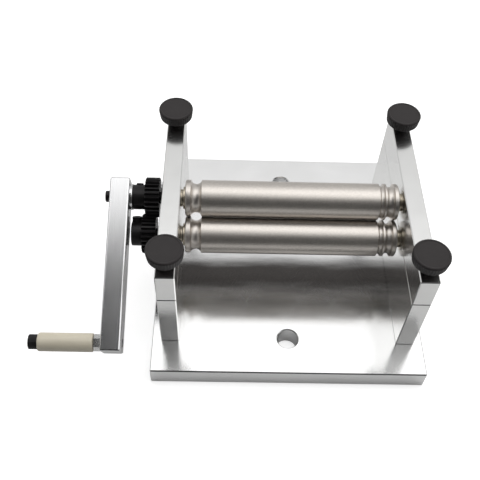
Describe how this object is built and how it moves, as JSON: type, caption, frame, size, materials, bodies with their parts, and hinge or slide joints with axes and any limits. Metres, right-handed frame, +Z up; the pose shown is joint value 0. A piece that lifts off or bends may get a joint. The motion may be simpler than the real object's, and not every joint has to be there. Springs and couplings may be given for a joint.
{
  "type": "hand-cranked dough sheeter",
  "caption": "Tabletop two-roller sheeter: stands on a thick plate, geared rollers turned by a side crank with a free-spinning grip, knobs that set the gap.",
  "frame": {"origin": "centre of the base plate's underside, midway between its two fixing holes", "axes": "+X along the rollers, away from the crank; +Y to the back; +Z up"},
  "size_m": [0.2736, 0.2069, 0.108],
  "materials": {
    "base_aluminium": "polished, fine arc scratches",
    "stand_aluminium": "fine milled, satin",
    "arm_aluminium": "brushed",
    "roller_steel": "turned and fine ground",
    "black_steel": "black oxide",
    "bronze": "plain bearing bronze",
    "black_knob": "matt moulded",
    "zinc_steel": "zinc plated",
    "spring_steel": "drawn wire",
    "ivory_plastic": "turned, satin"
  },
  "bodies": {
    "base": {"base_plate": "base_aluminium", "left_lower_block": "stand_aluminium", "right_lower_block": "stand_aluminium", "block_bolts": "black_steel", "lower_left_bush": "bronze", "lower_right_bush": "bronze", "front_left_spring": "spring_steel", "front_right_spring": "spring_steel", "back_left_spring": "spring_steel", "back_right_spring": "spring_steel"},
    "upper_carriage": {"left_upper_bar": "stand_aluminium", "right_upper_bar": "stand_aluminium", "upper_left_bush": "bronze", "upper_right_bush": "bronze"},
    "upper_drive": {"upper_roller": "roller_steel", "upper_shaft": "black_steel", "upper_left_thrust_washer": "bronze", "upper_right_thrust_washer": "bronze", "upper_gear": "black_steel", "upper_gear_set_screw": "black_steel", "crank_spacer": "arm_aluminium", "crank_arm": "arm_aluminium", "crank_set_screw": "black_steel", "handle_screw": "black_steel", "handle_nut": "zinc_steel"},
    "lower_drive": {"lower_roller": "roller_steel", "lower_shaft": "black_steel", "lower_left_thrust_washer": "bronze", "lower_right_thrust_washer": "bronze", "lower_gear": "black_steel", "lower_gear_cap_screw": "black_steel"},
    "handle_grip": {"handle_sleeve": "ivory_plastic"},
    "front_left_adjuster": {"front_left_knob": "black_knob", "front_left_knob_screw": "zinc_steel"},
    "front_right_adjuster": {"front_right_knob": "black_knob", "front_right_knob_screw": "zinc_steel"},
    "back_left_adjuster": {"back_left_knob": "black_knob", "back_left_knob_screw": "zinc_steel"},
    "back_right_adjuster": {"back_right_knob": "black_knob", "back_right_knob_screw": "zinc_steel"}
  },
  "joints": [
    {"name": "upper_carriage_lift", "type": "slide", "parent": "base", "child": "upper_carriage", "axis": [0, 0, 1], "range_m": [0, 0.0015], "deforming": ["front_left_spring", "front_right_spring", "back_left_spring", "back_right_spring"]},
    {"name": "crank_turn", "type": "hinge", "parent": "upper_carriage", "child": "upper_drive", "pos_m": [0, 0, 0.082], "axis": [1, 0, 0], "continuous": true},
    {"name": "lower_roller_turn", "type": "hinge", "parent": "base", "child": "lower_drive", "pos_m": [0, -0.0175, 0.0625], "axis": [1, 0, 0], "continuous": true},
    {"name": "handle_grip_spin", "type": "hinge", "parent": "upper_drive", "child": "handle_grip", "pos_m": [-0.15165, -0.09587, 0.04327], "axis": [1, 0, 0], "continuous": true},
    {"name": "front_left_knob_turn", "type": "hinge", "parent": "upper_carriage", "child": "front_left_adjuster", "pos_m": [-0.0845, -0.0645, 0.095], "axis": [0, 0, 1], "range_deg": [0, 540]},
    {"name": "front_right_knob_turn", "type": "hinge", "parent": "upper_carriage", "child": "front_right_adjuster", "pos_m": [0.0845, -0.0645, 0.095], "axis": [0, 0, 1], "range_deg": [0, 540]},
    {"name": "back_left_knob_turn", "type": "hinge", "parent": "upper_carriage", "child": "back_left_adjuster", "pos_m": [-0.0845, 0.0645, 0.095], "axis": [0, 0, 1], "range_deg": [0, 540]},
    {"name": "back_right_knob_turn", "type": "hinge", "parent": "upper_carriage", "child": "back_right_adjuster", "pos_m": [0.0845, 0.0645, 0.095], "axis": [0, 0, 1], "range_deg": [0, 540]}
  ],
  "couplings": [
    {"joint": "lower_roller_turn", "follows": "crank_turn", "ratio": -1},
    {"joint": "front_left_knob_turn", "follows": "upper_carriage_lift", "rad_per_m": 6283.2},
    {"joint": "front_right_knob_turn", "follows": "upper_carriage_lift", "rad_per_m": 6283.2},
    {"joint": "back_left_knob_turn", "follows": "upper_carriage_lift", "rad_per_m": 6283.2},
    {"joint": "back_right_knob_turn", "follows": "upper_carriage_lift", "rad_per_m": 6283.2}
  ]
}
